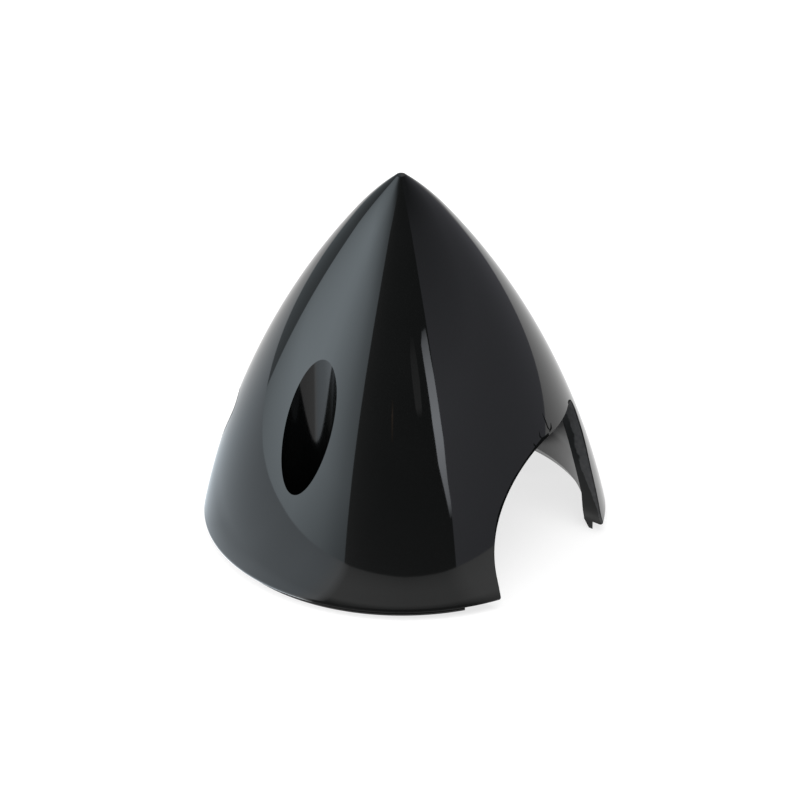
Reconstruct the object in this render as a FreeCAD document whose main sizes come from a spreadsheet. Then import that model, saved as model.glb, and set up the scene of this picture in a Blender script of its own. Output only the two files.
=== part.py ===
"""Two-blade propeller spinner cone: one moulded shell with blade openings and screw wells.

Frame: +Z runs along the propeller axis towards the nose. The origin is on the axis, in the
plane of the register lip's lower edge, on which the cone stands. The blades lie along X and
the two backplate screws along Y. All sizes are in millimetres.
"""
import FreeCAD, Part
import math
import os
import Sketcher
from FreeCAD import Vector

PART_NAME = "spinner_cone"
CORE_NAME = "hollow_core"

# alias, value, meaning
SIZES = [
    ("base_radius", 25.56, "outer radius of the cone at its rim"),
    ("cone_height", 48.0, "from the rim up to the tip"),
    ("rim_lean", 16.421, "lean of the skin from its chord at the rim, degrees"),
    ("tip_lean", 22.979, "lean of the skin from its chord at the tip, degrees"),
    ("nose_arc_radius", 36.0, "radius of the tighter arc that closes the nose"),
    ("tip_radius", 0.55, "radius of the small flat at the tip"),
    ("tip_round", 0.25, "rounding round the flat at the tip"),
    ("rim_round", 0.6, "rounding of the rim's outer edge"),
    ("band_rise", 7.0, "height of each band in which the long arc is drawn"),
    ("wall", 2.2, "wall thickness square to the skin"),
    ("band_height", 3.8, "height of the steeper band inside the rim"),
    ("core_tip_radius", 2.0, "blunt end of the hollow below the nose"),
    ("lip_ledge", 1.61, "width of the ledge outside the register lip"),
    ("lip_wall", 1.15, "width of the register lip at the ledge"),
    ("lip_height", 1.05, "how far the lip stands below the rim"),
    ("lip_edge", 0.5, "width of the lip at its lower edge"),
    ("screw_inset", 6.86, "from the rim's outer radius in to each screw"),
    ("well_radius", 3.5, "radius of each screw well"),
    ("boss_wall", 1.3, "wall of the column round each well"),
    ("well_floor", 2.5, "thickness under the screw head"),
    ("screw_hole_radius", 1.6, "clearance hole for the backplate screw"),
    ("near_gap", 3.7, "blade opening: plumb side, from the screw column beside it"),
    ("far_gap", 2.63, "blade opening: leaning side at the rim, from the other column"),
    ("far_lean", 5.5, "lean of that side away from the blade axis, degrees"),
    ("opening_height", 16.7, "blade opening: rim to crown"),
    ("crown_arc_radius", 13.1, "arc from the plumb side to the crown"),
    ("crown_corner_radius", 2.4, "tight corner from the crown to the leaning side"),
    ("lip_relief", 3.0, "lip cut back beside the plumb side of each opening"),
]
VALUE = {alias: value for alias, value, meaning in SIZES}

# lean of the straight line from rim to tip, worked out in the sheet from the sizes above
CHORD_FORMULA = "=atan((base_radius - tip_radius) / cone_height) / 1deg"
VALUE["chord_lean"] = math.degrees(math.atan2(VALUE["base_radius"] - VALUE["tip_radius"],
                                              VALUE["cone_height"]))

# sums of sizes that place one feature from another
RIM_ANGLE = "chord_lean - rim_lean"
TIP_ANGLE = "chord_lean + tip_lean"
LIP_RADIUS = "base_radius - lip_ledge"
RIM_INNER = LIP_RADIUS + " - lip_wall"
LIP_MOUTH = LIP_RADIUS + " - lip_edge"
SCREW_RADIUS = "base_radius - screw_inset"
COLUMN_SIDE = SCREW_RADIUS + " - well_radius - boss_wall"
OPENING_NEAR = COLUMN_SIDE + " - near_gap"
OPENING_FAR = COLUMN_SIDE + " - far_gap"

OVERCUT = 2.0    # how far a cutting shape runs past what it cuts
BLADES = 2
START, END, CENTRE = 1, 2, 3    # the points of a sketch element

doc = FreeCAD.newDocument("spinner")


# ---------------------------------------------------------------- sizes
def make_sheet():
    sheet = doc.addObject("Spreadsheet::Sheet", "Sizes")
    for row, (alias, value, meaning) in enumerate(SIZES, start=1):
        sheet.set("A%d" % row, meaning)
        sheet.set("B%d" % row, repr(value))
        sheet.setAlias("B%d" % row, alias)
    row = len(SIZES) + 1
    sheet.set("A%d" % row, "lean of the skin's chord from the axis, degrees")
    sheet.set("B%d" % row, CHORD_FORMULA)
    sheet.setAlias("B%d" % row, "chord_lean")
    doc.recompute()


def cell(expression):
    """Write each alias in an expression as a reference to the sheet."""
    words = expression.split(" ")
    return " ".join("Sizes." + word if word in VALUE else word for word in words)


def amount(expression):
    """Work out a sum of sizes, so that a sketch is drawn where its dimensions hold it."""
    total = 0.0
    sign = 1
    for word in expression.split(" "):
        if word in "+-":
            sign = 1 if word == "+" else -1
        else:
            total += sign * (VALUE[word] if word in VALUE else float(word))
    return total


def minus(expression):
    """The same sum of sizes with its sign turned."""
    swapped = {"+": "-", "-": "+"}
    return "0 - " + " ".join(swapped.get(word, word) for word in expression.split(" "))


# ---------------------------------------------------------------- sketch helpers
def origin_plane(body, role):
    return next(item for item in body.Origin.OriginFeatures if item.Role == role)


def new_sketch(body, name, role, level=None):
    """A sketch on one of the body's origin planes, lifted along its normal to a level."""
    sketch = body.newObject("Sketcher::SketchObject", name)
    sketch.AttachmentSupport = [(origin_plane(body, role), "")]
    sketch.MapMode = "FlatFace"
    if level:
        sketch.setExpression("AttachmentOffset.Base.z", cell(level))
    return sketch


def drive(sketch, expression, kind, *where):
    """Add a dimension, an angle in degrees, and bind it to the sheet."""
    value = amount(expression)
    if kind == "Angle":
        value = math.radians(value)
    index = sketch.addConstraint(Sketcher.Constraint(kind, *where, value))
    sketch.setExpression("Constraints[%d]" % index, cell(expression))


def hold(sketch, kind, *elements):
    """Make each element horizontal or vertical."""
    for element in elements:
        sketch.addConstraint(Sketcher.Constraint(kind, element))


def line(sketch, start, end):
    return sketch.addGeometry(Part.LineSegment(Vector(*start, 0), Vector(*end, 0)), False)


def arc(sketch, centre, radius, first, last):
    """Counter-clockwise arc between two angles in radians."""
    circle = Part.Circle(Vector(*centre, 0), Vector(0, 0, 1), radius)
    return sketch.addGeometry(Part.ArcOfCircle(circle, first, last), False)


def join(sketch, *pairs):
    for first, first_end, second, second_end in pairs:
        sketch.addConstraint(Sketcher.Constraint("Coincident", first, first_end, second, second_end))


def smooth(sketch, *pairs):
    """Join ends so that the elements also run on without a corner."""
    for first, first_end, second, second_end in pairs:
        sketch.addConstraint(Sketcher.Constraint("Tangent", first, first_end, second, second_end))


def place(sketch, element, end, across, up):
    """Fix a point by its distances from the sketch's axes, each an expression or 0."""
    for direction, size in (("DistanceX", across), ("DistanceY", up)):
        if size == 0:
            axis = -2 if direction == "DistanceX" else -1
            sketch.addConstraint(Sketcher.Constraint("PointOnObject", element, end, axis))
        else:
            drive(sketch, size, direction, -1, START, element, end)


# ---------------------------------------------------------------- the ogive
def beside(centre, radius, height):
    """The point at a height on a circle, on the side away from the axis."""
    return Vector(centre.x + math.sqrt(radius ** 2 - (height - centre.y) ** 2), height, 0)


def direction(vector):
    return math.atan2(vector.y, vector.x)


def biarc():
    """Centres and radii of the two tangent arcs of the skin, in the rim's height.

    The body arc leaves the rim turned out from the chord by rim_lean, and the nose arc of a
    given radius reaches the tip turned in from it by tip_lean. The body radius follows.
    """
    lean = math.radians(amount(RIM_ANGLE))
    steep = math.radians(amount(TIP_ANGLE))
    nose = VALUE["nose_arc_radius"]
    rim_normal = Vector(math.cos(lean), math.sin(lean), 0)
    tip_normal = Vector(math.cos(steep), math.sin(steep), 0)
    rim = Vector(VALUE["base_radius"], 0, 0)
    tip = Vector(VALUE["tip_radius"], VALUE["cone_height"], 0)
    nose_centre = tip - tip_normal * nose
    # |rim - body * n - nose_centre| = body - nose, solved for the body radius
    gap = rim - nose_centre
    body = (gap.dot(gap) - nose ** 2) / (2 * (gap.dot(rim_normal) - nose))
    body_centre = rim - rim_normal * body
    return body_centre, body, nose_centre, nose


def guide_arcs(sketch):
    """Lay out the skin as two construction arcs that run on to the sharp rim and tip."""
    lift = VALUE["lip_height"]
    body_centre, body, nose_centre, nose = biarc()
    body_at = (body_centre.x, body_centre.y + lift)
    nose_at = (nose_centre.x, nose_centre.y + lift)
    joint = direction(nose_centre - body_centre)
    body_arc = arc(sketch, body_at, body, math.radians(amount(RIM_ANGLE)), joint)
    nose_arc = arc(sketch, nose_at, nose, joint, math.radians(amount(TIP_ANGLE)))
    radii = [line(sketch, body_at, (VALUE["base_radius"], lift)),
             line(sketch, nose_at, (VALUE["tip_radius"], VALUE["cone_height"] + lift))]
    sketch.addConstraint(Sketcher.Constraint("Tangent", body_arc, END, nose_arc, START))
    place(sketch, body_arc, START, "base_radius", "lip_height")
    place(sketch, nose_arc, END, "tip_radius", "cone_height + lip_height")
    drive(sketch, "nose_arc_radius", "Radius", nose_arc)
    join(sketch, (radii[0], START, body_arc, CENTRE), (radii[0], END, body_arc, START),
         (radii[1], START, nose_arc, CENTRE), (radii[1], END, nose_arc, END))
    drive(sketch, RIM_ANGLE, "Angle", radii[0])
    drive(sketch, TIP_ANGLE, "Angle", radii[1])
    for guide in (body_arc, nose_arc, *radii):
        sketch.setConstruction(guide, True)
    return body_arc, nose_arc


def band_heights(start):
    """Heights where one band of the long arc ends and the next starts, as expressions."""
    body_centre, body, nose_centre, nose = biarc()
    between = nose_centre - body_centre
    top = body_centre.y + (body - VALUE["wall"]) * between.y / between.Length
    heights = []
    rise = "lip_height + band_rise"
    while amount(rise) - VALUE["lip_height"] < top - VALUE["band_rise"] / 3:
        if amount(rise) > start:
            heights.append(rise)
        rise += " + band_rise"
    return heights


def at_height(sketch, element, end, height):
    drive(sketch, height, "DistanceY", -1, START, element, end)


def outer_skin(sketch):
    """The skin from rim to tip: a rounding, the long arc in bands, the nose arc, a rounding."""
    guides = guide_arcs(sketch)
    lift = VALUE["lip_height"]
    body_centre, body, nose_centre, nose = biarc()
    body_at = Vector(body_centre.x, body_centre.y + lift, 0)
    nose_at = Vector(nose_centre.x, nose_centre.y + lift, 0)
    joint = direction(nose_centre - body_centre)
    rim, tip = VALUE["rim_round"], VALUE["tip_round"]
    rim_at = beside(body_at, body - rim, lift + rim)
    tip_at = beside(nose_at, nose - tip, lift + VALUE["cone_height"] - tip)
    rim_lean = direction(rim_at - body_at)
    tip_lean = direction(tip_at - nose_at)
    heights = band_heights(lift)
    turns = [rim_lean] + [math.asin((amount(height) - body_at.y) / body) for height in heights]
    turns.append(joint)
    bands = [arc(sketch, body_at[:2], body, turns[i], turns[i + 1]) for i in range(len(turns) - 1)]
    nose_band = arc(sketch, nose_at[:2], nose, joint, tip_lean)
    rim_arc = arc(sketch, rim_at[:2], rim, -math.pi / 2, rim_lean)
    tip_arc = arc(sketch, tip_at[:2], tip, tip_lean, math.pi / 2)
    for band in bands:
        join(sketch, (band, CENTRE, guides[0], CENTRE))
    for below, above, height in zip(bands, bands[1:], heights):
        join(sketch, (below, END, above, START))
        at_height(sketch, above, START, height)
    join(sketch, (bands[-1], END, guides[0], END), (nose_band, CENTRE, guides[1], CENTRE),
         (nose_band, START, guides[1], START))
    smooth(sketch, (rim_arc, END, bands[0], START), (nose_band, END, tip_arc, START))
    drive(sketch, "rim_round", "Radius", rim_arc)
    drive(sketch, "tip_round", "Radius", tip_arc)
    return rim_arc, tip_arc


def inner_skin(sketch, start):
    """Straight tapers between points one wall inside the skin. Returns first and last."""
    guides = guide_arcs(sketch)
    lift = VALUE["lip_height"]
    wall = VALUE["wall"]
    body_centre, body, nose_centre, nose = biarc()
    body_at = Vector(body_centre.x, body_centre.y + lift, 0)
    nose_at = Vector(nose_centre.x, nose_centre.y + lift, 0)
    joint = direction(nose_centre - body_centre)
    inner_body = arc(sketch, body_at[:2], body - wall, math.radians(amount(RIM_ANGLE)), joint)
    blunt = math.acos((VALUE["core_tip_radius"] - nose_at.x) / (nose - wall))
    inner_nose = arc(sketch, nose_at[:2], nose - wall, joint, blunt)
    join(sketch, (inner_body, CENTRE, guides[0], CENTRE), (inner_nose, CENTRE, guides[1], CENTRE))
    smooth(sketch, (inner_body, END, inner_nose, START))
    drive(sketch, "nose_arc_radius - wall", "Radius", inner_nose)
    sketch.addConstraint(Sketcher.Constraint("DistanceY", inner_body, START, guides[0], START, 0))
    sketch.setConstruction(inner_body, True)
    sketch.setConstruction(inner_nose, True)
    heights = [start] + band_heights(amount(start))
    points = [beside(body_at, body - wall, amount(height)) for height in heights]
    points.append(body_at + Vector(math.cos(joint), math.sin(joint), 0) * (body - wall))
    points.append(nose_at + Vector(math.cos(blunt), math.sin(blunt), 0) * (nose - wall))
    tapers = [line(sketch, a[:2], b[:2]) for a, b in zip(points, points[1:])]
    for taper, height in zip(tapers, heights):
        sketch.addConstraint(Sketcher.Constraint("PointOnObject", taper, START, inner_body))
        at_height(sketch, taper, START, height)
    for below, above in zip(tapers, tapers[1:]):
        join(sketch, (below, END, above, START))
    join(sketch, (tapers[-1], START, inner_body, END), (tapers[-1], END, inner_nose, END))
    return tapers[0], tapers[-1]


# ---------------------------------------------------------------- feature helpers
def spin(body, sketch, name):
    turned = body.newObject("PartDesign::Revolution", name)
    turned.Profile = sketch
    turned.ReferenceAxis = (sketch, ["V_Axis"])
    turned.Angle = 360.0
    doc.recompute()


def cut(body, sketch, name, depth=None):
    """Pocket a sketch along its plane's normal, through everything or to a depth."""
    before = body.Shape.Volume
    pocket = body.newObject("PartDesign::Pocket", name)
    pocket.Profile = sketch
    pocket.Reversed = True
    pocket.Type = "Length" if depth else "ThroughAll"
    if depth:
        pocket.setExpression("Length", cell(depth))
    doc.recompute()
    if body.Shape.Volume > before - 1e-3:
        raise RuntimeError("%s removed nothing" % name)
    return pocket


def two_circles(sketch, radius):
    """A circle at each screw, along Y."""
    reach = amount(SCREW_RADIUS)
    for side in (1, -1):
        circle = Part.Circle(Vector(0, side * reach, 0), Vector(0, 0, 1), amount(radius))
        index = sketch.addGeometry(circle, False)
        sketch.addConstraint(Sketcher.Constraint("PointOnObject", index, CENTRE, -2))
        ends = (-1, START, index, CENTRE) if side > 0 else (index, CENTRE, -1, START)
        drive(sketch, SCREW_RADIUS, "DistanceY", *ends)
        drive(sketch, radius, "Radius", index)


def rectangle(sketch, low, high):
    """Four lines between two corners, with level and plumb sides. Returns bottom and top."""
    corners = [low, (high[0], low[1]), high, (low[0], high[1])]
    sides = [line(sketch, corners[i], corners[(i + 1) % 4]) for i in range(4)]
    join(sketch, *((sides[i], END, sides[(i + 1) % 4], START) for i in range(4)))
    hold(sketch, "Horizontal", sides[0], sides[2])
    hold(sketch, "Vertical", sides[1], sides[3])
    return sides[0], sides[2]


# ---------------------------------------------------------------- hollow core
def make_core():
    """The space inside the shell: a turned core, slotted where the screw columns stand."""
    body = doc.addObject("PartDesign::Body", CORE_NAME)
    lift = VALUE["lip_height"]
    lip = amount(LIP_MOUTH)
    rim = amount(RIM_INNER)
    blunt = VALUE["core_tip_radius"]
    sketch = new_sketch(body, "CoreSection", "XZ_Plane")
    first, last = inner_skin(sketch, "lip_height + band_height")
    side = sketch.Geometry[first].StartPoint
    top = sketch.Geometry[last].EndPoint.y
    foot = line(sketch, (0, -OVERCUT), (lip, -OVERCUT))
    mouth = line(sketch, (lip, -OVERCUT), (lip, 0))
    taper = line(sketch, (lip, 0), (rim, lift))
    band = line(sketch, (rim, lift), side[:2])
    cap = line(sketch, (blunt, top), (0, top))
    axis = line(sketch, (0, top), (0, -OVERCUT))
    join(sketch, (foot, END, mouth, START), (mouth, END, taper, START), (taper, END, band, START),
         (band, END, first, START), (last, END, cap, START), (cap, END, axis, START),
         (axis, END, foot, START))
    hold(sketch, "Horizontal", foot, cap)
    hold(sketch, "Vertical", mouth, axis)
    sketch.addConstraint(Sketcher.Constraint("PointOnObject", axis, END, -2))
    sketch.addConstraint(Sketcher.Constraint("DistanceY", axis, END, -1, START, OVERCUT))
    place(sketch, taper, START, LIP_MOUTH, 0)
    place(sketch, band, START, RIM_INNER, "lip_height")
    drive(sketch, "core_tip_radius", "DistanceX", cap, END, cap, START)
    spin(body, sketch, "CoreTurned")
    columns = new_sketch(body, "ColumnSlots", "XY_Plane", "lip_height")
    two_circles(columns, "well_radius + boss_wall")
    cut(body, columns, "CoreSlotted")
    return body


# ---------------------------------------------------------------- spinner cone
def turn_cone(body):
    """The outside form: register lip, rim ledge, ogive skin and the small flat at the tip."""
    lift = VALUE["lip_height"]
    lip = amount(LIP_RADIUS)
    top = VALUE["cone_height"] + lift
    sketch = new_sketch(body, "ConeSection", "XZ_Plane")
    rim_arc, tip_arc = outer_skin(sketch)
    foot = line(sketch, (0, 0), (lip, 0))
    lip_side = line(sketch, (lip, 0), (lip, lift))
    ledge = line(sketch, (lip, lift), (sketch.Geometry[rim_arc].Center.x, lift))
    flat = line(sketch, (sketch.Geometry[tip_arc].Center.x, top), (0, top))
    axis = line(sketch, (0, top), (0, 0))
    join(sketch, (foot, END, lip_side, START), (lip_side, END, ledge, START),
         (flat, END, axis, START), (axis, END, foot, START), (foot, START, -1, START))
    smooth(sketch, (ledge, END, rim_arc, START), (tip_arc, END, flat, START))
    hold(sketch, "Horizontal", foot, ledge, flat)
    hold(sketch, "Vertical", lip_side, axis)
    drive(sketch, LIP_RADIUS, "DistanceX", foot, START, foot, END)
    drive(sketch, "lip_height", "DistanceY", lip_side, START, lip_side, END)
    at_height(sketch, flat, END, "cone_height + lip_height")
    spin(body, sketch, "ConeTurned")


def hollow_out(body, core):
    hollow = body.newObject("PartDesign::Boolean", "Hollowed")
    hollow.Type = "Cut"
    hollow.setObjects([core])
    doc.recompute()


def cut_screw_wells(body):
    """A blind well for each screw head, open through the skin, and a hole in its floor."""
    wells = new_sketch(body, "ScrewWells", "XY_Plane", "lip_height + well_floor")
    two_circles(wells, "well_radius")
    cut(body, wells, "WellsCut")
    holes = new_sketch(body, "ScrewHoles", "XY_Plane", "lip_height")
    two_circles(holes, "screw_hole_radius")
    cut(body, holes, "ScrewHolesCut")


def draw_blade_arch(sketch):
    """One plumb side with a wide arc up to the crown, one leaning side with a tight corner."""
    lift = VALUE["lip_height"]
    near, far = amount(OPENING_NEAR), amount(OPENING_FAR)
    wide, tight = VALUE["crown_arc_radius"], VALUE["crown_corner_radius"]
    crown = lift + VALUE["opening_height"]
    lean = math.radians(VALUE["far_lean"])
    shoulder = far + VALUE["opening_height"] * math.tan(lean)
    foot = line(sketch, (far, -OVERCUT), (-near, -OVERCUT))
    plumb = line(sketch, (-near, -OVERCUT), (-near, crown - wide))
    sweep = arc(sketch, (wide - near, crown - wide), wide, math.pi / 2, math.pi)
    top = line(sketch, (wide - near, crown), (shoulder - tight, crown))
    corner = arc(sketch, (shoulder - tight, crown - tight), tight, -lean, math.pi / 2)
    leaning = line(sketch, (far, -OVERCUT), (shoulder, crown - tight))
    join(sketch, (foot, END, plumb, START), (leaning, START, foot, START))
    smooth(sketch, (plumb, END, sweep, END), (sweep, START, top, START), (top, END, corner, END),
           (corner, START, leaning, END))
    hold(sketch, "Horizontal", foot, top)
    hold(sketch, "Vertical", plumb)
    rim_mark = sketch.addGeometry(Part.Point(Vector(far, lift, 0)), True)
    sketch.addConstraint(Sketcher.Constraint("PointOnObject", rim_mark, START, leaning))
    place(sketch, rim_mark, START, OPENING_FAR, "lip_height")
    sketch.addConstraint(Sketcher.Constraint("DistanceY", foot, END, -1, START, OVERCUT))
    drive(sketch, OPENING_NEAR, "DistanceX", plumb, START, -1, START)
    drive(sketch, "opening_height + lip_height", "DistanceY", -1, START, top, START)
    drive(sketch, "crown_arc_radius", "Radius", sweep)
    drive(sketch, "crown_corner_radius", "Radius", corner)
    drive(sketch, "90 - far_lean", "Angle", leaning)


def cut_blade_openings(body):
    """Cut the arch along the blade axis, and the lip back beside it, for both blades."""
    arch = new_sketch(body, "BladeArch", "YZ_Plane")
    draw_blade_arch(arch)
    opening = cut(body, arch, "BladeOpening")
    near, back = amount(OPENING_NEAR), VALUE["lip_relief"]
    reach = VALUE["base_radius"]
    relief = new_sketch(body, "LipRelief", "XY_Plane")
    low, high = rectangle(relief, (0, -near - back), (reach, -near))
    place(relief, low, START, 0, minus(OPENING_NEAR + " + lip_relief"))
    place(relief, high, START, "base_radius", minus(OPENING_NEAR))
    gap = cut(body, relief, "LipCutBack", depth="lip_height")
    pattern = body.newObject("PartDesign::PolarPattern", "BothBlades")
    pattern.Originals = [opening, gap]
    pattern.Axis = (origin_plane(body, "Z_Axis"), [""])
    pattern.Angle = 360.0
    pattern.Occurrences = BLADES
    body.Tip = pattern
    doc.recompute()


def make_spinner_cone():
    core = make_core()
    body = doc.addObject("PartDesign::Body", PART_NAME)
    body.Label = PART_NAME
    turn_cone(body)
    hollow_out(body, core)
    cut_screw_wells(body)
    cut_blade_openings(body)
    return body


# ---------------------------------------------------------------- document
def check(sub_parts):
    """Stop if any object failed to compute or any sub-part is not one valid solid."""
    failed = [item.Name for item in doc.Objects if {"Invalid", "Error"} & set(item.State)]
    if failed:
        raise RuntimeError("failed to compute: " + ", ".join(failed))
    for part in sub_parts:
        shape = part.Shape
        if shape.isNull() or not shape.isValid() or len(shape.Solids) != 1:
            raise RuntimeError(part.Label + " is not one valid solid")


def main():
    make_sheet()
    sub_parts = [make_spinner_cone()]
    check(sub_parts)
    os.makedirs("parts", exist_ok=True)
    for part in sub_parts:
        part.Shape.exportStep(os.path.join("parts", part.Label + ".step"))
        box = part.Shape.optimalBoundingBox()
        print("%s: %.0f mm3, %.2f x %.2f x %.2f mm" % (part.Label, part.Shape.Volume,
                                                      box.XLength, box.YLength, box.ZLength))


main()
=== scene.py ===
"""Propeller spinner cone: the moulded gloss shell, its finishes, and a small studio round it.

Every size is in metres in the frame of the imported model: +Z towards the nose, +X along the
blade axis, the origin on the axis in the plane of the register lip's lower edge.
"""
import math
import random

import bmesh
import bpy
import numpy as np
from bpy.props import FloatProperty, FloatVectorProperty, PointerProperty
from mathutils import Matrix, Vector


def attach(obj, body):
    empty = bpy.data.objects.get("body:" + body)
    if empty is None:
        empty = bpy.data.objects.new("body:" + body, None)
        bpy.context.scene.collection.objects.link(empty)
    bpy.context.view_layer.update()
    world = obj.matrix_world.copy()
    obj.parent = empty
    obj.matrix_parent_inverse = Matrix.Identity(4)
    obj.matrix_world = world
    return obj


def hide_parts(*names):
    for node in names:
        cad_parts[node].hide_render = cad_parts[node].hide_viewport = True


bl_info = {
    "name": "Propeller Spinner Cone",
    "version": (1, 0, 0),
    "blender": (4, 5, 0),
    "location": "3D View > Sidebar > Spinner",
    "description": "Builds a moulded two-blade spinner cone with its finishes and a studio",
    "category": "Object",
}

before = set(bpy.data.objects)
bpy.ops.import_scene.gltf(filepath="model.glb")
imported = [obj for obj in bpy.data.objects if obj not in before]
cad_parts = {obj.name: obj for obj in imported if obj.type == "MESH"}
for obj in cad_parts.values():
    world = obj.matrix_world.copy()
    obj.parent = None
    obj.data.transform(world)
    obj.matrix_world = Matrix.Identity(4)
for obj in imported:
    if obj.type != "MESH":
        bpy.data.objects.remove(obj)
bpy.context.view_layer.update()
NODE = "spinner_cone"
MM = 0.001
MICRON = 0.000001


# ---------------------------------------------------------------- colours
def linear(code):
    """sRGB hex to the linear colour that shaders and lamps take."""
    parts = [int(code[i:i + 2], 16) / 255 for i in (1, 3, 5)]
    return tuple(p / 12.92 if p <= 0.04045 else ((p + 0.055) / 1.055) ** 2.4 for p in parts)


# ---------------------------------------------------------------- properties
def length(mm, name, description):
    return FloatProperty(name=name, description=description, default=mm * MM, unit="LENGTH",
                         precision=5)


def angle(degrees, name, description):
    return FloatProperty(name=name, description=description, default=math.radians(degrees),
                         subtype="ANGLE")


def colour(code, name, description):
    return FloatVectorProperty(name=name, description=description, default=linear(code),
                               subtype="COLOR", size=3, min=0, max=1)


def amount(value, name, description):
    return FloatProperty(name=name, description=description, default=value, min=0)


class SpinnerSizes(bpy.types.PropertyGroup):
    """Sizes of the moulded cone."""
    base_radius: length(25.55, "Base radius", "Outer radius at the rim, before rounding")
    cone_height: length(48.0, "Cone height", "From the rim up to the tip")
    rim_lean: angle(11.1, "Rim lean", "Lean of the skin from the axis at the rim")
    tip_lean: angle(50.5, "Tip lean", "Lean of the skin from the axis at the tip")
    nose_arc: length(36.0, "Nose arc", "Radius of the arc that closes the nose")
    tip_radius: length(0.55, "Tip radius", "Radius of the small flat at the tip")
    tip_round: length(0.25, "Tip rounding", "Rounding round the flat at the tip")
    rim_round: length(0.6, "Rim rounding", "Rounding of the rim's outer edge")
    wall: length(2.2, "Wall", "Wall thickness square to the skin")
    rim_inner: length(22.8, "Rim inside radius", "Inside radius at the rim")
    band_height: length(3.8, "Band height", "Height of the steeper band inside the rim")
    core_tip: length(2.0, "Core tip", "Radius of the hollow's blunt end")
    lip_radius: length(23.95, "Lip radius", "Outer radius of the register lip")
    lip_height: length(1.05, "Lip height", "How far the lip stands below the rim")
    lip_edge: length(0.5, "Lip edge", "Width of the lip at its lower edge")
    screw_radius: length(18.7, "Screw radius", "Distance of each screw from the axis")
    well_radius: length(3.5, "Well radius", "Radius of each screw well")
    boss_wall: length(0.7, "Column wall", "Wall of the column round each well")
    well_floor: length(2.5, "Well floor", "Thickness under the screw head")
    screw_hole: length(1.6, "Screw hole", "Radius of the screw's clearance hole")
    opening_near: length(10.2, "Plumb side", "Plumb side of the opening from the blade axis")
    opening_far: length(11.5, "Leaning side", "Leaning side of the opening at the rim")
    far_lean: angle(4.6, "Side lean", "Lean of that side away from the blade axis")
    foot_flare: length(0.6, "Foot flare", "How far that side breaks out at its foot")
    shoulder: length(0.67, "Shoulder", "How far that side swells below the corner")
    opening_height: length(16.6, "Opening height", "From the rim to the crown")
    crown_arc: length(13.4, "Crown arc", "Arc from the plumb side to the crown")
    crown_corner: length(2.3, "Crown corner", "Tight corner to the leaning side")
    lip_relief: length(3.0, "Lip relief", "Lip cut back beside the plumb side")


class SpinnerFinish(bpy.types.PropertyGroup):
    """Finish of the plastic."""
    body: colour("#090a0a", "Plastic", "Colour of the black ABS itself")
    gloss: amount(0.035, "Skin roughness", "Roughness of the polished outer skin")
    inside: amount(0.36, "Core roughness", "Roughness of the moulding's core side")
    cut: amount(0.5, "Cut roughness", "Roughness of the openings and wells")


class SpinnerStudio(bpy.types.PropertyGroup):
    """Light round the part."""
    azimuth: angle(38.77, "Camera azimuth", "Camera round the axis, from -Y towards +X")
    elevation: angle(30.62, "Camera elevation", "Camera above the horizon")
    distance: length(841.5, "Camera distance", "From the camera to the middle of the rim")
    lens: amount(298.7, "Lens", "Focal length in millimetres on a 36 mm sensor")
    pan: angle(0.0359, "Camera pan", "Turn of the lens to the right of the rim's middle")
    tilt: angle(0.9303, "Camera tilt", "Turn of the lens above the rim's middle")
    roll: angle(-0.6675, "Camera roll", "Turn of the camera about its lens")
    softbox: amount(3.6, "Softbox", "Brightness of the large softbox on the left")
    fill: amount(0.625, "Fill wall", "Brightness of the pale wall on the right")
    dark: amount(0.062, "Dark side", "Brightness of the unlit side behind the camera")


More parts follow.
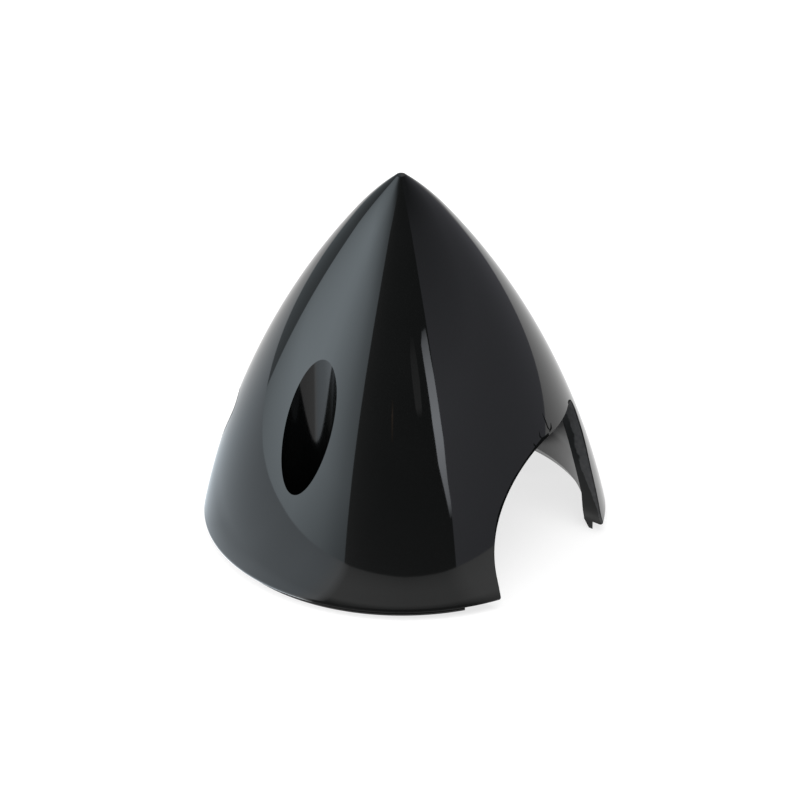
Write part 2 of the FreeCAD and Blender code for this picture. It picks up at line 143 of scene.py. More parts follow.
# ---------------------------------------------------------------- the ogive
class Ogive:
    """Section of the skin in millimetres: two arcs that meet in one tangent."""

    def __init__(self, s):
        self.lift = s.lip_height / MM
        self.top = (s.lip_height + s.cone_height) / MM
        self.nose = s.nose_arc / MM
        rim_normal = np.array([math.cos(s.rim_lean), math.sin(s.rim_lean)])
        tip_normal = np.array([math.cos(s.tip_lean), math.sin(s.tip_lean)])
        rim = np.array([s.base_radius / MM, self.lift])
        tip = np.array([s.tip_radius / MM, self.top])
        self.nose_at = tip - tip_normal * self.nose
        gap = rim - self.nose_at
        self.body = (gap @ gap - self.nose ** 2) / (2 * (gap @ rim_normal - self.nose))
        self.body_at = rim - rim_normal * self.body
        between = self.nose_at - self.body_at
        self.joint = math.atan2(between[1], between[0])
        self.rim_round = s.rim_round / MM
        self.tip_round = s.tip_round / MM
        self.rim_at = self.beside(self.body_at, self.body - self.rim_round,
                                  self.lift + self.rim_round)
        self.tip_at = self.beside(self.nose_at, self.nose - self.tip_round,
                                  self.top - self.tip_round)

    @staticmethod
    def beside(centre, radius, height):
        return np.array([centre[0] + math.sqrt(radius ** 2 - (height - centre[1]) ** 2), height])

    @staticmethod
    def turn(vector):
        return math.atan2(vector[1], vector[0])

    @staticmethod
    def arc(centre, radius, first, last, steps):
        turns = np.linspace(first, last, steps + 1)
        return [(centre[0] + radius * math.cos(t), centre[1] + radius * math.sin(t))
                for t in turns]

    def skin(self, height):
        """Radius of the long arc of the skin at a height."""
        return self.body_at[0] + math.sqrt(self.body ** 2 - (height - self.body_at[1]) ** 2)

    def outer(self):
        """Points from the rim's ledge up to the flat at the tip."""
        rim_turn = self.turn(self.rim_at - self.body_at)
        tip_turn = self.turn(self.tip_at - self.nose_at)
        return (self.arc(self.rim_at, self.rim_round, -math.pi / 2, rim_turn, 8)[:-1]
                + self.arc(self.body_at, self.body, rim_turn, self.joint, 64)[:-1]
                + self.arc(self.nose_at, self.nose, self.joint, tip_turn, 18)[:-1]
                + self.arc(self.tip_at, self.tip_round, tip_turn, math.pi / 2, 5))

    def inner(self, wall, start, blunt):
        """Points one wall inside the skin, from a height up to the hollow's blunt end."""
        first = math.asin((start - self.body_at[1]) / (self.body - wall))
        last = math.acos((blunt - self.nose_at[0]) / (self.nose - wall))
        return (self.arc(self.body_at, self.body - wall, first, self.joint, 40)[:-1]
                + self.arc(self.nose_at, self.nose - wall, self.joint, last, 12))

    def normals(self, points):
        """Exact outward normals of points on the skin or on a surface inside it."""
        radius = np.hypot(points[:, 0], points[:, 1])
        section = np.stack([radius, points[:, 2]], 1)
        rim_turn = self.turn(self.rim_at - self.body_at)
        tip_turn = self.turn(self.tip_at - self.nose_at)
        rim_top = self.body_at[1] + self.body * math.sin(rim_turn)
        tip_base = self.nose_at[1] + self.nose * math.sin(tip_turn)
        height = section[:, 1]
        along = section - self.body_at
        above = np.cross(np.array([math.cos(self.joint), math.sin(self.joint)]), along) > 0
        centre = np.where(above[:, None], self.nose_at, self.body_at)
        centre = np.where((height < rim_top)[:, None], self.rim_at, centre)
        centre = np.where((height > tip_base)[:, None], self.tip_at, centre)
        normal = section - centre
        normal /= np.maximum(np.linalg.norm(normal, axis=1), 1e-9)[:, None]
        safe = np.maximum(radius, 1e-6)
        return np.stack([normal[:, 0] * points[:, 0] / safe, normal[:, 0] * points[:, 1] / safe,
                         normal[:, 1]], 1)


# ---------------------------------------------------------------- mesh helpers
def new_object(name, verts, faces, material=None):
    mesh = bpy.data.meshes.new(name)
    mesh.from_pydata([tuple(v) for v in verts], [], faces)
    mesh.validate()
    if material:
        mesh.materials.append(material)
    item = bpy.data.objects.new(name, mesh)
    bpy.context.scene.collection.objects.link(item)
    return item


def turned(name, section, steps, material):
    """Closed solid turned about Z from a section in millimetres that starts and ends on it."""
    verts = [(0, 0, section[0][1] * MM)]
    rings = section[1:-1]
    for r, z in rings:
        for i in range(steps):
            a = 2 * math.pi * i / steps
            verts.append((r * math.cos(a) * MM, r * math.sin(a) * MM, z * MM))
    verts.append((0, 0, section[-1][1] * MM))
    faces = [(0, 1 + (i + 1) % steps, 1 + i) for i in range(steps)]
    for k in range(len(rings) - 1):
        base = 1 + k * steps
        for i in range(steps):
            j = (i + 1) % steps
            faces.append((base + i, base + j, base + steps + j, base + steps + i))
    base = 1 + (len(rings) - 1) * steps
    faces += [(base + i, base + (i + 1) % steps, len(verts) - 1) for i in range(steps)]
    return new_object(name, verts, faces, material)


def prism(name, outline, place, low, high, material, copies):
    """Straight solids from an outline in millimetres. place puts (u, v, w) into the frame."""
    verts, faces = [], []
    count = len(outline)
    for copy in copies:
        base = len(verts)
        for level in (low, high):
            verts += [Vector(place(u, v, level)) * MM for u, v in outline]
        verts[base:] = [copy @ v for v in verts[base:]]
        faces.append(tuple(base + i for i in reversed(range(count))))
        faces.append(tuple(base + count + i for i in range(count)))
        for i in range(count):
            j = (i + 1) % count
            faces.append((base + i, base + j, base + count + j, base + count + i))
    item = new_object(name, verts, faces, material)
    work = bmesh.new()
    work.from_mesh(item.data)
    bmesh.ops.recalc_face_normals(work, faces=work.faces)
    work.to_mesh(item.data)
    work.free()
    return item


def circle(radius, steps):
    turns = [2 * math.pi * i / steps for i in range(steps)]
    return [(radius * math.cos(a), radius * math.sin(a)) for a in turns]


def subtract(item, cutter):
    """Take a cutter from a solid and delete the cutter."""
    boolean = item.modifiers.new("Cut", "BOOLEAN")
    boolean.operation = "DIFFERENCE"
    boolean.solver = "EXACT"
    boolean.material_mode = "TRANSFER"
    boolean.object = cutter
    graph = bpy.context.evaluated_depsgraph_get()
    mesh = bpy.data.meshes.new_from_object(item.evaluated_get(graph))
    item.modifiers.clear()
    old, item.data = item.data, mesh
    bpy.data.meshes.remove(old)
    bpy.data.objects.remove(cutter)


# tears beside the crown: points across and up on the skin in millimetres, and half width
TEARS = (
    (((3.35, 20.4), (3.45, 19.4), (3.5, 18.5), (3.8, 17.95)), 0.10),
    (((4.45, 18.7), (4.2, 18.2), (3.6, 17.95)), 0.17),
    (((1.6, 18.9), (1.45, 18.3), (1.8, 17.85)), 0.11),
    (((-0.05, 18.1), (0.0, 17.8), (0.2, 17.6)), 0.12),
)
BOTH = (Matrix.Identity(4), Matrix.Rotation(math.pi, 4, "Z"))
# the leaning side as trimmed: where its swelling starts and how far up that takes, and how high
# the flare at its foot reaches, all in millimetres above the rim
SWELL_START, SWELL_RISE, FLARE_RISE = 7, 6.5, 1.1
# the painted dark edge line, a black strip standing in for the dark reflection in the opening's
# rounded edge, in millimetres: its width, how much that wanders, the least of it, how much broader
# it is on the crown's plumb side and at the tears, and how far it stands off the skin
LINE, WANDER, LEAST, BOLD, TORN, STAND_OFF = 0.15, 0.035, 0.03, 0.11, 0.16, 0.012
BELOW, ABOVE = -3, 60    # levels that clear the part, in millimetres, for what cuts it


# ---------------------------------------------------------------- materials
def add(tree, kind, settings=None, links=None):
    """Add a node, set its attributes or sockets, and link its inputs."""
    node = tree.nodes.new(kind)
    for key, value in (settings or {}).items():
        if isinstance(key, str) and hasattr(node, key) and key not in node.inputs:
            setattr(node, key, value)
        else:
            node.inputs[key].default_value = value
    for key, socket in (links or {}).items():
        tree.links.new(socket, node.inputs[key])
    return node


def plastic(name, finish, roughness, ripple_um, grain_um, scratch, specular=0.5):
    """Black ABS. Returns the material, ready for more detail.

    Moulded gloss ABS shows the room as sharp dark reflections at about 4 %, rising to white at
    a glancing angle. Slow sink waves bend them a little, and handling leaves hair scratches.
    """
    material = bpy.data.materials.new(name)
    material.use_nodes = True
    tree = material.node_tree
    tree.nodes.clear()
    place = add(tree, "ShaderNodeTexCoord").outputs["Object"]
    # flow of the pigment: patches about 9 mm across, barely lighter
    flow = add(tree, "ShaderNodeTexNoise", {"Scale": 1 / (9 * MM), "Detail": 3.0},
               {"Vector": place})
    tint = add(tree, "ShaderNodeMix", {"data_type": "RGBA", 6: (*finish.body, 1),
                                       7: (*[c * 1.5 for c in finish.body], 1)},
               {"Factor": flow.outputs["Fac"]})
    # hair scratches: thin cells 2.4 mm long and 0.12 mm apart, lying a little askew
    long, thin = 1 / (2.4 * MM), 1 / (0.12 * MM)
    stretch = add(tree, "ShaderNodeMapping", {"Scale": (long, long, thin),
                                              "Rotation": (0.35, 0.2, 0.0)}, {"Vector": place})
    hairs = add(tree, "ShaderNodeTexNoise", {"Scale": 1.0, "Detail": 2.0},
                {"Vector": stretch.outputs[0]})
    lines = add(tree, "ShaderNodeMapRange", {"From Min": 0.62, "From Max": 0.75},
                {"Value": hairs.outputs["Fac"]})
    # they come in handled patches about 6 mm across
    patch = add(tree, "ShaderNodeTexNoise", {"Scale": 1 / (6 * MM), "Detail": 2.0},
                {"Vector": place})
    worn = add(tree, "ShaderNodeMapRange", {"From Min": 0.45, "From Max": 0.75},
               {"Value": patch.outputs["Fac"]})
    marks = add(tree, "ShaderNodeMath", {"operation": "MULTIPLY"},
                {0: lines.outputs[0], 1: worn.outputs[0]})
    rough = add(tree, "ShaderNodeMapRange", {"To Min": roughness, "To Max": roughness + scratch},
                {"Value": marks.outputs[0]})
    # sink waves about 14 mm long, then the mould's fine grain about 0.35 mm
    wave = add(tree, "ShaderNodeTexNoise", {"Scale": 1 / (14 * MM), "Detail": 0.0},
               {"Vector": place})
    bend = add(tree, "ShaderNodeBump", {"Strength": 1.0, "Distance": ripple_um * MICRON},
               {"Height": wave.outputs["Fac"]})
    grain = add(tree, "ShaderNodeTexNoise", {"Scale": 1 / (0.35 * MM), "Detail": 2.0},
                {"Vector": place})
    bump = add(tree, "ShaderNodeBump", {"Strength": 1.0, "Distance": grain_um * MICRON},
               {"Height": grain.outputs["Fac"], "Normal": bend.outputs[0]})
    shader = add(tree, "ShaderNodeBsdfPrincipled", {"IOR": 1.5, "Specular IOR Level": specular},
                 {"Base Color": tint.outputs[2], "Roughness": rough.outputs[0],
                  "Normal": bump.outputs[0]})
    add(tree, "ShaderNodeOutputMaterial", None, {"Surface": shader.outputs[0]})
    return material


def trimmed_plastic(name, finish, form):
    """ABS where the openings are trimmed: matt, with a painted reflection, a lighter grey band,
    along the skin's side.

    The painted band is about two thirds of the wall at the crown and runs out towards the rim.
    """
    material = plastic(name, finish, finish.cut, 5.0, 3.0, 0.1, specular=0.3)
    tree = material.node_tree
    shader = next(node for node in tree.nodes if node.type == "BSDF_PRINCIPLED")
    place = add(tree, "ShaderNodeTexCoord").outputs["Object"]
    split = add(tree, "ShaderNodeSeparateXYZ", None, {0: place}).outputs
    flat = add(tree, "ShaderNodeCombineXYZ", None, {0: split[0], 1: split[1]})
    radius = add(tree, "ShaderNodeVectorMath", {"operation": "LENGTH"}, {0: flat.outputs[0]})
    # depth below the skin: how far inside the body arc a point of the section lies
    section = add(tree, "ShaderNodeCombineXYZ", None, {0: radius.outputs["Value"], 2: split[2]})
    spread = add(tree, "ShaderNodeVectorMath",
                 {"operation": "DISTANCE", 1: (form.body_at[0] * MM, 0, form.body_at[1] * MM)},
                 {0: section.outputs[0]})
    depth = add(tree, "ShaderNodeMath", {"operation": "SUBTRACT", 0: form.body * MM},
                {1: spread.outputs["Value"]})
    # the painted reflection band widens from the rim up to 8 mm, and its lower edge is ragged
    reach = add(tree, "ShaderNodeMapRange", {"From Min": 1.4 * MM, "From Max": 8 * MM,
                                             "To Min": 0.1 * MM, "To Max": 1.4 * MM},
                {"Value": split[2]})
    ragged = add(tree, "ShaderNodeTexNoise", {"Scale": 1 / (1.6 * MM), "Detail": 4.0},
                 {"Vector": place})
    shift = add(tree, "ShaderNodeMapRange", {"To Min": -0.62 * MM, "To Max": 0.62 * MM},
                {"Value": ragged.outputs["Fac"]})
    limit = add(tree, "ShaderNodeMath", {"operation": "ADD"},
                {0: reach.outputs[0], 1: shift.outputs[0]})
    past = add(tree, "ShaderNodeMath", {"operation": "SUBTRACT"},
               {0: limit.outputs[0], 1: depth.outputs[0]})
    band = add(tree, "ShaderNodeMapRange", {"From Min": -0.1 * MM, "From Max": 0.1 * MM},
               {"Value": past.outputs[0]})
    # painted dark reflection: the grey band stops 0.1 to 0.2 mm short of the skin's edge, leaving
    # a dark line there that stands in for the dark reflection in the edge's small rounding
    inside = add(tree, "ShaderNodeMapRange", {"From Min": 0.1 * MM, "From Max": 0.2 * MM},
                 {"Value": depth.outputs[0]})
    painted_reflection_band = add(tree, "ShaderNodeMath", {"operation": "MULTIPLY"},
                  {0: band.outputs[0], 1: inside.outputs[0]})
    # the painted reflection is a mottled grey, in patches about 0.5 mm across
    mottle = add(tree, "ShaderNodeTexNoise", {"Scale": 1 / (0.5 * MM), "Detail": 3.0},
                 {"Vector": place})
    painted_reflection_grey = add(tree, "ShaderNodeMix", {"data_type": "RGBA", 6: (*linear("#3a3b3c"), 1),
                                       7: (*linear("#626365"), 1)},
               {"Factor": mottle.outputs["Fac"]})
    # painted reflection: the grey band is mixed over the plastic's own colour
    old = shader.inputs["Base Color"].links[0].from_socket
    both = add(tree, "ShaderNodeMix", {"data_type": "RGBA"},
               {"Factor": painted_reflection_band.outputs[0], 6: old, 7: painted_reflection_grey.outputs[2]})
    tree.links.new(both.outputs[2], shader.inputs["Base Color"])
    return material


# ---------------------------------------------------------------- operators
class SPINNER_OT_shell(bpy.types.Operator):
    """Build the moulded shell with its openings, wells and register lip"""
    bl_idname = "spinner.shell"
    bl_label = "Moulded Shell"

    def execute(self, context):
        s = context.scene.spinner_sizes
        finish = context.scene.spinner_finish
        form = Ogive(s)
        # polished mould: sharp dark reflections
        skin = plastic("polished_gloss_abs", finish, finish.gloss, 9.0, 0.03, 0.05)
        # unpolished side of the mould: soft, pale sheen at a glancing angle
        core = plastic("core_side_abs", finish, finish.inside, 6.0, 1.2, 0.1)
        # openings: matt cut faces with a painted reflection, a grey band along the skin's side
        cut = trimmed_plastic("trimmed_edge_abs", finish, form)
        # pin of the mould: glossy, so the wells show streaks of light over black
        bore = plastic("moulded_bore_abs", finish, 0.12, 5.0, 0.5, 0.1)
        # painted dark reflection: a rough strip with hardly a reflection, so it stays black,
        # standing in for the dark reflection in the opening's rounded edge; the tears use it too
        line = plastic("painted_edge_line_and_tears_abs", finish, 0.9, 5.0, 4.0, 0.0, specular=0.05)
        lip, lift = s.lip_radius / MM, s.lip_height / MM
        shell = turned("cone_shell", [(0, 0), (lip, 0), (lip, lift), *form.outer(),
                                      (0, form.top)], 288, skin)
        start = (s.lip_height + s.band_height) / MM
        inner = form.inner(s.wall / MM, start, s.core_tip / MM)
        mouth = (s.lip_radius - s.lip_edge) / MM
        hollow = turned("hollow", [(0, -2), (mouth, -2), (mouth, 0), (s.rim_inner / MM, lift),
                                   *inner, (0, inner[-1][1])], 192, core)
        reach = s.screw_radius / MM

        def upright(u, v, w):
            return u, v + reach, w

        def sideways(u, v, w):
            return w, u, v

        column = circle((s.well_radius + s.boss_wall) / MM, 64)
        subtract(hollow, prism("columns", column, upright, lift, ABOVE, core, BOTH))
        subtract(shell, hollow)
        floor = (s.lip_height + s.well_floor) / MM
        well = circle(s.well_radius / MM, 96)
        subtract(shell, prism("wells", well, upright, floor, ABOVE, bore, BOTH))
        hole = circle(s.screw_hole / MM, 48)
        subtract(shell, prism("holes", hole, upright, -1, floor + 1, bore, BOTH))
        subtract(shell, prism("arches", self.arch(s), sideways, 5, 40, cut, BOTH))
        near = s.opening_near / MM
        back = near + s.lip_relief / MM
        relief = [(-back, BELOW), (-near + 1, BELOW), (-near + 1, lift), (-back, lift)]
        subtract(shell, prism("reliefs", relief, sideways, 10, 40, cut, BOTH))
        shell.data.materials.append(line)
        self.painted_edge_line(shell, form, s)
        self.smooth(shell, form, s)
        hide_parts(NODE)
        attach(shell, "root")
        return {"FINISHED"}

    @staticmethod
    def arch(s):
        """Outline of the opening: plumb side, wide arc, crown, tight corner, leaning side."""
        near, far = s.opening_near / MM, s.opening_far / MM
        wide, tight = s.crown_arc / MM, s.crown_corner / MM
        rim = s.lip_height / MM
        crown = rim + s.opening_height / MM
        slope = math.tan(s.far_lean)
        flare, shoulder = s.foot_flare / MM, s.shoulder / MM

        def side(z):
            # straight, but for the foot's flare and the swelling under the corner
            up = z - rim
            rise = min(max((up - SWELL_START) / SWELL_RISE, 0), 1)
            return (far + max(up, 0) * slope + shoulder * rise * rise * (3 - 2 * rise)
                    + flare * math.exp(-(max(up, 0) / FLARE_RISE) ** 2))

        height = crown - tight
        return [(-near, BELOW),
                *Ogive.arc((wide - near, crown - wide), wide, math.pi, math.pi / 2, 48),
                *Ogive.arc((side(height) - tight, height), tight, math.pi / 2, 0, 16),
                *[(side(z), z) for z in np.linspace(height, rim, 40)[1:]],
                (side(rim), BELOW)]

    def painted_edge_line(self, shell, form, s):
        """Painted dark reflection: a black ragged line on the skin round each opening, standing in
        for the dark reflection in its rounded edge, and the tears.
        """
        draw = random.Random(7)
        rim, near = s.lip_height / MM, s.opening_near / MM
        start = [(-near, z) for z in np.linspace(rim + 1, rim + 2.5, 3)]
        outline = start + self.arch(s)[1:-2]
        left, right = [], []
        drift = 0.0
        for before, here, after in zip(outline, outline[1:], outline[2:]):
            along = np.array(after) - np.array(before)
            away = np.array([-along[1], along[0]]) / np.linalg.norm(along)
            across, up = here
            drift = 0.75 * drift + draw.uniform(-WANDER, WANDER)
            torn = TORN * math.exp(-((across - 2.3) / 2.2) ** 2) * (up > 12)
            bold = BOLD * (across < 2) * (up > 9)
            # it thins out from 12 mm down to a quarter near the rim
            width = (LINE + bold + drift + torn) * min(1, max(0.25, (up - 7) / 5))
            left.append(np.array(here) + away * max(width, LEAST))
            right.append(np.array(here))
        strokes = [(left, right)]
        for path, width in TEARS:
            path = [np.array(point) for point in path]
            along = path[-1] - path[0]
            away = np.array([-along[1], along[0]]) / np.linalg.norm(along)
            taper = [0.15, *[1.0] * (len(path) - 2), 0.4]
            strokes.append(([q + away * width * t for q, t in zip(path, taper)],
                            [q - away * width * t for q, t in zip(path, taper)]))
        work = bmesh.new()
        work.from_mesh(shell.data)
        slot = [m.name for m in shell.data.materials].index("painted_edge_line_and_tears_abs")
        for copy in BOTH:
            for first, second in strokes:
                pairs = []
                for pair in zip(first, second):
                    spots = []
                    for w, z in pair:
                        r = form.skin(z) + STAND_OFF
                        spot = Vector((math.sqrt(r * r - w * w), w, z)) * MM
                        spots.append(work.verts.new(copy @ spot))
                    pairs.append(spots)
                for (a, b), (c, d) in zip(pairs, pairs[1:]):
                    face = work.faces.new((a, c, d, b))
                    face.material_index = slot
        work.to_mesh(shell.data)
        work.free()

    @staticmethod
    def smooth(shell, form, s):
        """Shade by angle, and give the turned and bored faces their exact normals.

        A corner takes the exact normal only where its own face already points nearly that way.
        """
        mesh = shell.data
        mesh.shade_smooth()
        mesh.set_sharp_from_angle(angle=math.radians(25))
        loops, faces = len(mesh.loops), len(mesh.polygons)
        vertex = np.zeros(loops, int)
        mesh.loops.foreach_get("vertex_index", vertex)
        spots = np.zeros(len(mesh.vertices) * 3)
        mesh.vertices.foreach_get("co", spots)
        spots = spots.reshape(-1, 3)[vertex] / MM
        normals = np.zeros(loops * 3)
        mesh.corner_normals.foreach_get("vector", normals)
        normals = normals.reshape(-1, 3)
        total = np.zeros(faces, int)
        slot = np.zeros(faces, int)
        facing = np.zeros(faces * 3)
        mesh.polygons.foreach_get("loop_total", total)
        mesh.polygons.foreach_get("material_index", slot)
        mesh.polygons.foreach_get("normal", facing)
        slot = np.repeat(slot, total)
        facing = np.repeat(facing.reshape(-1, 3), total, axis=0)
        names = [m.name for m in mesh.materials]
        lip, reach, well = s.lip_radius / MM, s.screw_radius / MM, s.well_radius / MM
        radius = np.hypot(spots[:, 0], spots[:, 1])
        level = np.abs(facing[:, 2]) > 0.9999
        skin = slot == names.index("polished_gloss_abs")
        on_lip = spots[:, 2] < form.lift + 1e-4
        exact = form.normals(spots)
        agree = (exact * facing).sum(1)
        turned_skin = skin & ~level & (agree > 0.9) & ~(on_lip & (radius < lip + 0.01))
        normals[turned_skin] = exact[turned_skin]
        core = (slot == names.index("core_side_abs")) & ~level & (agree < -0.97)
        core &= spots[:, 2] > (s.lip_height + s.band_height) / MM + 1e-3
        normals[core] = -exact[core]
        for side in (1, -1):
            across = spots[:, :2] - np.array([0, side * reach])
            distance = np.linalg.norm(across, axis=1)
            bored = ~level & (np.abs(distance - well) < 0.02)
            bored &= (slot == names.index("moulded_bore_abs")) & (np.abs(facing[:, 2]) < 0.01)
            away = -across / np.maximum(distance, 1e-6)[:, None]
            normals[bored] = np.column_stack([away, np.zeros(loops)])[bored]
        mesh.normals_split_custom_set(normals.tolist())


class SPINNER_OT_studio(bpy.types.Operator):
    """Set the floor, the softbox and walls, the lamps, the world and the camera"""
    bl_idname = "spinner.studio"
    bl_label = "Studio"

    def execute(self, context):
        studio = context.scene.spinner_studio
        self.floor()
        self.surround(studio)
        self.lamps(studio)
        self.world(context.scene)
        self.camera(context.scene, studio)
        context.scene.view_settings.view_transform = "Standard"
        return {"FINISHED"}

    @staticmethod
    def toward(studio, azimuth, elevation, distance):
        """A point seen from the part, with azimuth in degrees from the camera to its right."""
        a = studio.azimuth + math.radians(azimuth)
        e = math.radians(elevation)
        return Vector((math.sin(a) * math.cos(e), -math.cos(a) * math.cos(e),
                       math.sin(e))) * distance

    @staticmethod
    def floor():
        """Pale floor. It is plain white to the eye, with the part's soft shadow on it."""
        half = 6.0
        floor = new_object("floor", [(-half, -half, 0), (half, -half, 0), (half, half, 0),
                                     (-half, half, 0)], [(0, 1, 2, 3)])
        material = bpy.data.materials.new("white_paper_floor")
        material.use_nodes = True
        tree = material.node_tree
        tree.nodes.clear()
        # matt white paper, lifted to full white only for what looks straight at it
        paper = add(tree, "ShaderNodeBsdfDiffuse", {"Color": (*linear("#989898"), 1)})
        path = add(tree, "ShaderNodeLightPath")
        lift = add(tree, "ShaderNodeMath", {"operation": "MULTIPLY", 1: 0.74},
                   {0: path.outputs["Is Camera Ray"]})
        glow = add(tree, "ShaderNodeEmission", {"Color": (1, 1, 1, 1)},
                   {"Strength": lift.outputs[0]})
        both = add(tree, "ShaderNodeAddShader", None, {0: paper.outputs[0], 1: glow.outputs[0]})
        add(tree, "ShaderNodeOutputMaterial", None, {"Surface": both.outputs[0]})
        floor.data.materials.append(material)
        floor.visible_glossy = False

    def surround(self, studio):
        """What the gloss sees: softbox, dark side, fill wall, back walls and the table top.

        a is the azimuth from the camera to its right and e the elevation, both in degrees.
        """
        def softbox(a, e):
            # brightest in its middle, falling off to both sides and above
            across = np.interp(a, (-121, -110, -100, -90, -80, -70, -60, -50, -40, -34),
                               (0.42, 0.62, 0.78, 0.91, 1.0, 0.97, 0.83, 0.67, 0.45, 0.36))
            up = np.interp(e, (-6, 9, 35, 45, 50, 55, 60, 66),
                           (0.6, 1, 1, 0.77, 0.66, 0.56, 0.35, 0.1))
            return studio.softbox * across * up

        def dark(a, e):
            # a little light spills over from the softbox and up from the table
            return studio.dark * (1 + 1.8 * math.exp(-(a + 34) / 9) + 0.05 * max(0, 10 - e))

        def wall(a, e):
            # brightest at 22 degrees up
            fade = max(0.2, 1 - (e - 22) * 0.0215) if e > 22 else 1 - (22 - e) * 0.006
            return (studio.fill - 0.0022 * (a - 30)) * fade

        cool, white = linear("#e9f7ff"), (1, 1, 1)
        for name, across, bright, tint in (
                ("softbox", (-121, -34), softbox, cool),
                ("dark_side", (-34, 28), dark, white),
                ("fill_wall", (28, 150), wall, linear("#f2f3ff")),
                ("back_left_wall", (-180, -121), lambda a, e: 0.37, cool),
                ("back_right_wall", (150, 180), lambda a, e: 0.45, white)):
            self.patch(studio, name, across, (-25, 90), bright, tint)
        # gaps between the panels: elevation, left and right edge, brightness
        self.gap(studio, "light_gap", linear("#f3f8ff"),
                 ((34, 21.5, 26.0, 0.7), (32.2, 19.2, 26.6, 1.8), (29.4, 19.9, 27.0, 2.5),
                  (26.2, 20.8, 27.7, 3.1), (23, 21.4, 27.9, 3.4), (19.9, 21.6, 28.0, 3.7),
                  (16.7, 22.3, 28.2, 3.6), (13.6, 22.8, 27.8, 3.2), (10.4, 24.5, 27.7, 2.7),
                  (7.2, 26.0, 28.2, 2.1), (5, 26.8, 28.2, 0.4)))
        self.gap(studio, "faint_gap", white,
                 ((34, 8, 11, 0.08), (31, 7, 13, 0.19), (27, 8, 14.5, 0.25), (23, 9.5, 14.5, 0.28),
                  (21.6, 11, 14, 0.1)))
        self.gap(studio, "thin_gap", linear("#ffd9b8"),
                 ((24.5, -9.2, -8.7, 0.12), (22, -9.4, -8.4, 0.42), (18, -8.8, -8.0, 0.12)))
        self.table(studio)

    def gap(self, studio, name, tint, rows):
        """Narrow gap, from rows of elevation, its two edges in azimuth, and brightness."""
        verts, values = [], []
        for up, left, right, bright in rows:
            verts += [self.toward(studio, edge, up, 1.5) for edge in (left, right)]
            values += [bright, bright]
        faces = [(k, k + 1, k + 3, k + 2) for k in range(0, len(verts) - 2, 2)]
        self.sheet(name, verts, values, tint, faces)

    def patch(self, studio, name, across, up, bright, tint):
        """Part of a sphere of walls, whose brightness is a function of direction."""
        step = 3    # degrees
        columns = max(2, int((across[1] - across[0]) / step))
        rows = max(2, int((up[1] - up[0]) / step))
        verts, values, faces = [], [], []
        for j in range(rows + 1):
            e = up[0] + (up[1] - up[0]) * j / rows
            for i in range(columns + 1):
                a = across[0] + (across[1] - across[0]) * i / columns
                verts.append(self.toward(studio, a, e, 2.0))
                values.append(bright(a, e))
        for j in range(rows):
            for i in range(columns):
                k = j * (columns + 1) + i
                faces.append((k, k + 1, k + columns + 2, k + columns + 1))
        self.sheet(name, verts, values, tint, faces)

    @staticmethod
    def sheet(name, verts, values, tint, faces):
        """Sheet of light that only gloss sees, with its brightness kept at each vertex.

        tint is one colour, or a list with a colour for each vertex.
        """
        item = new_object(name, verts, faces)
        tints = tint if isinstance(tint, list) else [tint] * len(values)
        glow = item.data.attributes.new("glow", "FLOAT_VECTOR", "POINT")
        glow.data.foreach_set("vector", [v * part for v, t in zip(values, tints) for part in t])
        material = bpy.data.materials.new(name + "_light")
        material.use_nodes = True
        tree = material.node_tree
        tree.nodes.clear()
        bright = add(tree, "ShaderNodeAttribute", {"attribute_name": "glow"})
        light = add(tree, "ShaderNodeEmission", {"Strength": 1.0},
                    {"Color": bright.outputs["Vector"]})
        add(tree, "ShaderNodeOutputMaterial", None, {"Surface": light.outputs[0]})
        item.data.materials.append(material)
        item.visible_camera = False
        item.visible_diffuse = False
        item.visible_shadow = False

    def table(self, studio):
        """The table as the gloss sees it: bright by the softbox, in shade close in front."""
        # azimuth, reach in millimetres, brightness close in, half way and at the far edge; the
        # part's own shade makes it dark close in before the camera, from -28.5 to 20 degrees
        rows = ((-180, 280, 1.1, 1.05, 1.0), (-150, 330, 0.95, 1.0, 0.95),
                (-121, 300, 1.0, 1.05, 1.05), (-100, 250, 1.0, 1.15, 1.15),
                (-88, 245, 1.0, 1.25, 1.25), (-75, 240, 1.3, 1.4, 1.35),
                (-63, 215, 1.6, 1.4, 1.35), (-50, 190, 1.6, 1.45, 1.35),
                (-33, 160, 1.5, 1.3, 1.1), (-28.5, 145, 0.15, 0.72, 0.52),
                (0, 122, 0.12, 0.62, 0.40), (20, 130, 0.15, 0.62, 0.45),
                (29, 145, 0.5, 0.85, 0.72), (45, 170, 0.9, 0.9, 0.8),
                (60, 200, 0.9, 0.9, 0.85), (100, 260, 0.95, 0.95, 0.9),
                (140, 300, 1.0, 1.0, 0.93), (180, 280, 1.1, 1.05, 1.0))
        turns = np.linspace(-180, 180, 241)
        reach, near, middle, far = (np.interp(turns, [row[0] for row in rows],
                                              [row[k] for row in rows]) for k in (1, 2, 3, 4))
        verts, values, tints, faces = [], [], [], []
        for i, a in enumerate(turns):
            blue = np.interp(a, (-150, -121, -40, -28), (0, 1, 1, 0))
            tints += [(1 - 0.1 * blue, 1, 1 + 0.08 * blue)] * 5
            for r, glow in ((4, near[i]), (34, near[i]), (40, middle[i]), (60, middle[i]),
                            (reach[i], far[i])):
                spot = self.toward(studio, a, 0, r * MM)
                verts.append(Vector((spot.x, spot.y, 0.2 * MM)))
                values.append(glow)
        for i in range(len(turns) - 1):
            for k in range(4):
                j = 5 * i + k
                faces.append((j, j + 1, j + 6, j + 5))
        self.sheet("table_top", verts, values, tints, faces)

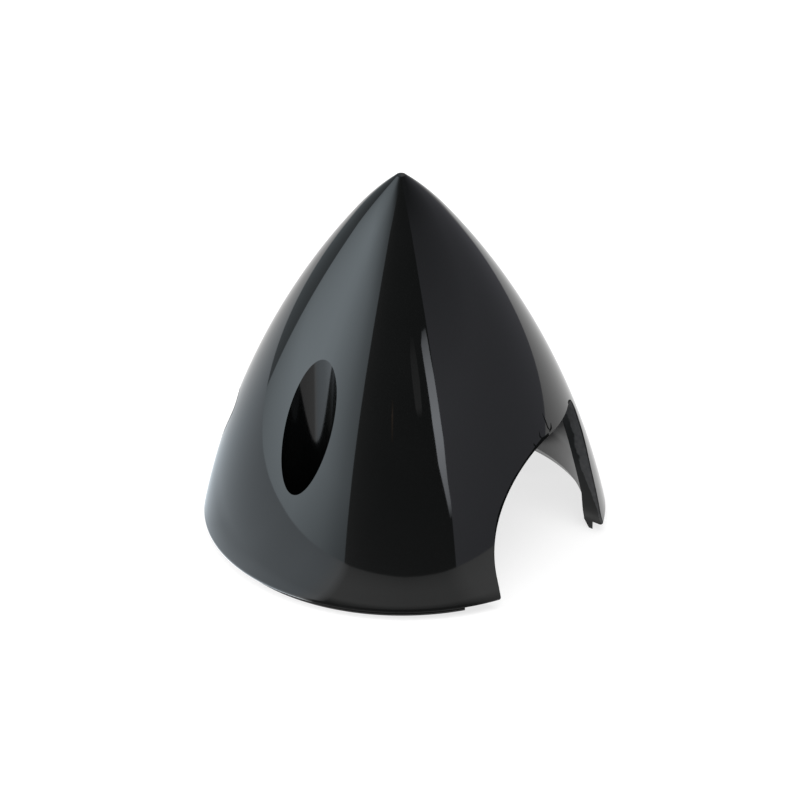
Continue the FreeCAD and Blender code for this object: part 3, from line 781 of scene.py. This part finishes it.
    def lamps(self, studio):
        """Two soft area lamps: azimuth and elevation in degrees, side in metres, watts."""
        for name, azimuth, elevation, size, power in (("key_lamp", -78, 35, 0.7, 11.0),
                                                      ("top_lamp", 30, 75, 0.9, 9.0)):
            data = bpy.data.lights.new(name, "AREA")
            data.size = size
            data.energy = power
            lamp = bpy.data.objects.new(name, data)
            lamp.location = self.toward(studio, azimuth, elevation, 1.1)
            lamp.rotation_mode = "QUATERNION"
            lamp.rotation_quaternion = lamp.location.to_track_quat("Z", "Y")
            lamp.visible_glossy = False
            bpy.context.scene.collection.objects.link(lamp)

    @staticmethod
    def world(scene):
        """White room: plain white to the eye and the gloss, softer as light."""
        world = bpy.data.worlds.new("white_room")
        world.use_nodes = True
        tree = world.node_tree
        tree.nodes.clear()
        path = add(tree, "ShaderNodeLightPath")
        seen = add(tree, "ShaderNodeMath", {"operation": "ADD", "use_clamp": True},
                   {0: path.outputs["Is Camera Ray"], 1: path.outputs["Is Glossy Ray"]})
        seen = add(tree, "ShaderNodeMath", {"operation": "ADD", "use_clamp": True},
                   {0: seen.outputs[0], 1: path.outputs["Is Transmission Ray"]})
        level = add(tree, "ShaderNodeMapRange", {"To Min": 0.45, "To Max": 1.0},
                    {"Value": seen.outputs[0]})
        light = add(tree, "ShaderNodeBackground", {"Color": (1, 1, 1, 1)},
                    {"Strength": level.outputs[0]})
        add(tree, "ShaderNodeOutputWorld", None, {"Surface": light.outputs[0]})
        scene.world = world

    @staticmethod
    def camera(scene, studio):
        """Long lens from above. The small turns set the part a little low in the picture."""
        data = bpy.data.cameras.new("camera")
        data.sensor_width = 36.0
        data.lens = studio.lens
        data.clip_end = 50
        pitch = studio.elevation - studio.tilt
        yaw = studio.azimuth + studio.pan
        roll = studio.roll
        look = Vector((-math.sin(yaw) * math.cos(pitch), math.cos(yaw) * math.cos(pitch),
                       -math.sin(pitch)))
        right = Vector((math.cos(yaw), math.sin(yaw), 0))
        up = right.cross(look)
        side = right * math.cos(roll) + up * math.sin(roll)
        top = up * math.cos(roll) - right * math.sin(roll)
        back = Vector((math.sin(studio.azimuth) * math.cos(studio.elevation),
                       -math.cos(studio.azimuth) * math.cos(studio.elevation),
                       math.sin(studio.elevation)))
        camera = bpy.data.objects.new("camera", data)
        turn = Matrix((side, top, -look)).transposed().to_4x4()
        middle = Vector((0, 0, 1.35 * MM))    # just above the rim
        camera.matrix_world = Matrix.Translation(middle + back * studio.distance) @ turn
        scene.collection.objects.link(camera)
        scene.camera = camera


class SPINNER_PT_panel(bpy.types.Panel):
    """Sizes, finish and studio of the spinner cone"""
    bl_idname = "SPINNER_PT_panel"
    bl_label = "Spinner Cone"
    bl_space_type = "VIEW_3D"
    bl_region_type = "UI"
    bl_category = "Spinner"

    def draw(self, context):
        for name in ("spinner_sizes", "spinner_finish", "spinner_studio"):
            group = getattr(context.scene, name)
            box = self.layout.box()
            for key in group.__annotations__:
                box.prop(group, key)
        self.layout.operator(SPINNER_OT_shell.bl_idname)
        self.layout.operator(SPINNER_OT_studio.bl_idname)


CLASSES = (SpinnerSizes, SpinnerFinish, SpinnerStudio, SPINNER_OT_shell, SPINNER_OT_studio,
           SPINNER_PT_panel)
GROUPS = {"spinner_sizes": SpinnerSizes, "spinner_finish": SpinnerFinish,
          "spinner_studio": SpinnerStudio}


def register():
    for item in CLASSES:
        bpy.utils.register_class(item)
    for name, group in GROUPS.items():
        setattr(bpy.types.Scene, name, PointerProperty(type=group))


def unregister():
    for name in GROUPS:
        delattr(bpy.types.Scene, name)
    for item in reversed(CLASSES):
        bpy.utils.unregister_class(item)


def main():
    register()
    bpy.ops.spinner.studio()
    bpy.ops.spinner.shell()


if __name__ == "__main__":
    main()
